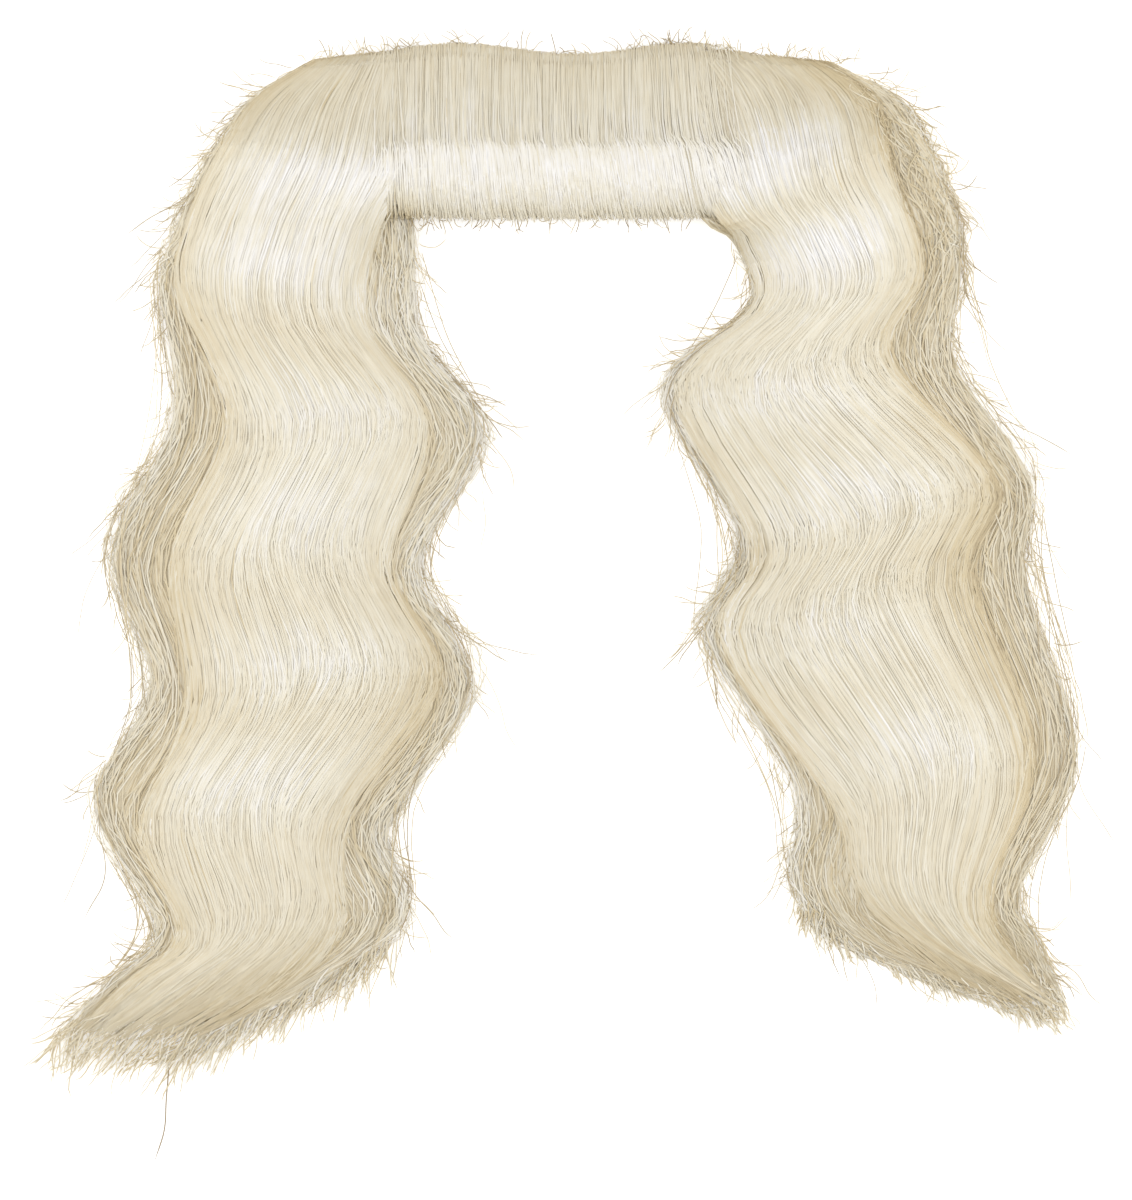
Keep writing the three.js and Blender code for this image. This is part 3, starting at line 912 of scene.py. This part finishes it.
def tail_loose(tail):
    """The loose hairs round a tail: long ones that run beside it, and short ones that stick out."""
    beside = edge_hairs(
        tail, count=70, span=(0.05, 0.93), length=(7, 18), lean=(4, 18), curl=30, stations=15
    )
    paths = np.concatenate([beside, bridging_hairs(tail, count=60, stations=15)])
    loose_strands(f"{tail.name}_loose_hair", paths, thickness=1.0, tones=(0.1, 0.5), node=tail.node)
    short = edge_hairs(
        tail, count=300, span=(0.02, 0.97), length=(2, 6), lean=(10, 60), curl=45, stations=8
    )
    paths = np.concatenate([short, root_hairs(tail, count=50, stations=8)])
    loose_strands(f"{tail.name}_short_hair", paths, thickness=0.9, tones=(0.15, 0.6), node=tail.node)


def frayed_ends(tail, count, span, inset, lean):
    """Hair ends over a span of times and insets from the inner edge, leaning out over that edge."""
    rise, curl, stations = 0.2, 0.25, 8
    outward = 1 if tail.band_side == 1 else -1
    t = rng.uniform(*span, count)
    across = tail.from_band(rng.uniform(*inset, count))
    heading = tail.heading(t, across) + outward * np.radians(rng.uniform(*lean, count))
    height = tail.under_height(t, across) * rng.uniform(0.5, 1.1, count) + rise
    bend = rng.normal(0, curl, count)
    start = tail.point(t, across)
    return loose_paths(start, height, heading, rng.uniform(*tail.fray, count), bend, stations)


def tail_fray(tail):
    """The frayed hair ends along the lower edge of a tail's flick and at its tip."""
    along_edge = frayed_ends(tail, count=280, span=(0.84, 1.0), inset=(0.0, 0.12), lean=(8, 48))
    at_tip = frayed_ends(tail, count=320, span=(0.93, 1.0), inset=(0.0, 1.0), lean=(-8, 40))
    paths = np.concatenate([along_edge, at_tip])
    loose_strands(f"{tail.name}_frayed_hair", paths, thickness=1.5, tones=(0.45, 0.88), node=tail.node)


def band_loose():
    """Short hairs that stick up from the roots of the band and down from its hem."""
    count, root_share, stations = 130, 0.6, 8
    below_roots, hem_y, root_height, hem_height, curl = 0.3, -13.0, 2.0, 5.0, 0.9
    up = rng.random(count) < root_share
    x = rng.uniform(BAND_LEFT, BAND_RIGHT, count)
    y = np.where(up, band_paths(x, np.zeros(count))[..., 1] - below_roots, hem_y)
    height = np.where(up, root_height, hem_height)
    heading = np.radians(np.where(up, rng.uniform(15, 165, count), rng.uniform(-125, -55, count)))
    length = np.where(up, rng.uniform(1.2, 3.6, count), rng.uniform(1.2, 2.6, count))
    start = np.stack([x, y], axis=-1)
    paths = loose_paths(start, height, heading, length, rng.normal(0, curl, count), stations)
    loose_strands("band_loose_hair", paths, thickness=0.9, tones=(0.0, 0.4), node="lip_band")


def long_hair():
    """The one long hair that hangs from the left tip."""
    stations, height = 15, 0.4
    xy = curve(LONG_HAIR, np.linspace(0, 1, stations)[None])
    paths = np.concatenate([xy, np.full((1, stations, 1), height)], axis=2)
    loose_strands("long_loose_hair", paths, thickness=1.6, tones=(0.0, 0.1), node="left_tail")


def cloth_material():
    """The strip's woven cloth."""
    roughness, threads = 0.9, 1800
    material = bpy.data.materials.new("strip_cloth")
    material.use_nodes = True
    nodes, links = material.node_tree.nodes, material.node_tree.links
    shader = nodes["Principled BSDF"]
    shader.inputs["Roughness"].default_value = roughness
    place = nodes.new("ShaderNodeTexCoord")
    weave = nodes.new("ShaderNodeTexChecker")
    weave.inputs["Scale"].default_value = threads
    weave.inputs["Color1"].default_value = (0.66, 0.57, 0.42, 1)
    weave.inputs["Color2"].default_value = (0.74, 0.66, 0.52, 1)
    links.new(place.outputs["Object"], weave.inputs["Vector"])
    links.new(weave.outputs["Color"], shader.inputs["Base Color"])
    add_relief(material, weave.outputs["Fac"], strength=0.4, distance=0.1)
    return material


def studio():
    """A white floor, a long softbox overhead, a weak one low on each side, and even light all round."""
    half, floor_white, floor_roughness, floor_glow, surround = 3.0, 0.95, 0.9, 0.35, 0.5
    corners = [(-half, -half, 0), (half, -half, 0), (half, half, 0), (-half, half, 0)]
    floor_mesh = bpy.data.meshes.new("floor")
    floor_mesh.from_pydata(corners, [], [(0, 1, 2, 3)])
    floor = bpy.data.objects.new("floor", floor_mesh)
    bpy.context.scene.collection.objects.link(floor)
    paint = bpy.data.materials.new("floor_paint")
    paint.use_nodes = True
    shader = paint.node_tree.nodes["Principled BSDF"]
    shader.inputs["Base Color"].default_value = (floor_white, floor_white, floor_white, 1)
    shader.inputs["Roughness"].default_value = floor_roughness
    shader.inputs["Emission Color"].default_value = (1, 1, 1, 1)
    shader.inputs["Emission Strength"].default_value = floor_glow
    floor_mesh.materials.append(paint)

    world = bpy.data.worlds.new("studio")
    bpy.context.scene.world = world
    world.use_nodes = True
    background = world.node_tree.nodes["Background"]
    background.inputs["Color"].default_value = (1, 1, 1, 1)
    background.inputs["Strength"].default_value = surround
    softbox("overhead_softbox", offset=(0, 0, 1.3), size=(2.0, 0.4), power=9.8)
    softbox("left_softbox", offset=(-0.46, 0, 0.17), size=(0.5, 0.2), power=0.8)
    softbox("right_softbox", offset=(0.46, 0, 0.17), size=(0.5, 0.2), power=0.8)


def softbox(name, offset, size, power):
    """A rectangular lamp at an offset, in metres, from the middle of the hair, and aimed at it."""
    middle = Vector((0, -0.06, 0))
    place = middle + Vector(offset)
    light = bpy.data.lights.new(name, "AREA")
    light.shape = "RECTANGLE"
    light.size, light.size_y = size
    light.energy = power
    lamp = bpy.data.objects.new(name, light)
    lamp.location = place
    lamp.rotation_mode = "QUATERNION"
    lamp.rotation_quaternion = (middle - place).to_track_quat("-Z", "Y")
    bpy.context.scene.collection.objects.link(lamp)


def camera():
    """Straight above the object, with the photograph's framing."""
    distance, middle_height, sensor = 1.0, 0.006, 36
    data = bpy.data.cameras.new("camera")
    data.sensor_width = sensor
    data.lens = sensor * (distance - middle_height) / (PHOTO_HEIGHT * PIXEL * MM)
    cam = bpy.data.objects.new("camera", data)
    x = (PHOTO_WIDTH / 2 - ORIGIN_PIXEL[0]) * PIXEL * MM
    y = (ORIGIN_PIXEL[1] - PHOTO_HEIGHT / 2) * PIXEL * MM
    cam.location = (x, y, distance)
    bpy.context.scene.collection.objects.link(cam)
    bpy.context.scene.camera = cam
    bpy.context.scene.view_settings.view_transform = "Standard"


camera()
studio()
left_tail = Tail(
    "left", LEFT_TAIL, band_side=1, leaves_band=0.25, corner=0, root_lean=0, swerve=0,
    pale=0.74, shade=0.05, rim=LEFT_RIM_SHADING, shine=LEFT_PAINTED_SHINE, shine_from=(0.115, 0.18), tilt=0,
    fray=(2.5, 8.5),
)
right_tail = Tail(
    "right", RIGHT_TAIL, band_side=0, leaves_band=0.19, corner=1.6, root_lean=7, swerve=3,
    pale=0.765, shade=0.24, rim=RIGHT_RIM_SHADING, shine=RIGHT_PAINTED_SHINE, shine_from=(0.1, 0.135), tilt=0.12,
    fray=(1.5, 4.5),
)
for tail in (left_tail, right_tail):
    tail_core(tail)
    tail_under(tail)
    tail_top(tail)
    tail_frizz(tail)
    tail_loose(tail)
    tail_fray(tail)
outer_lock(right_tail)
band_core()
band_hair()
band_loose()
long_hair()
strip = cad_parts["backing_strip"]
strip.data.materials.clear()
strip.data.materials.append(cloth_material())
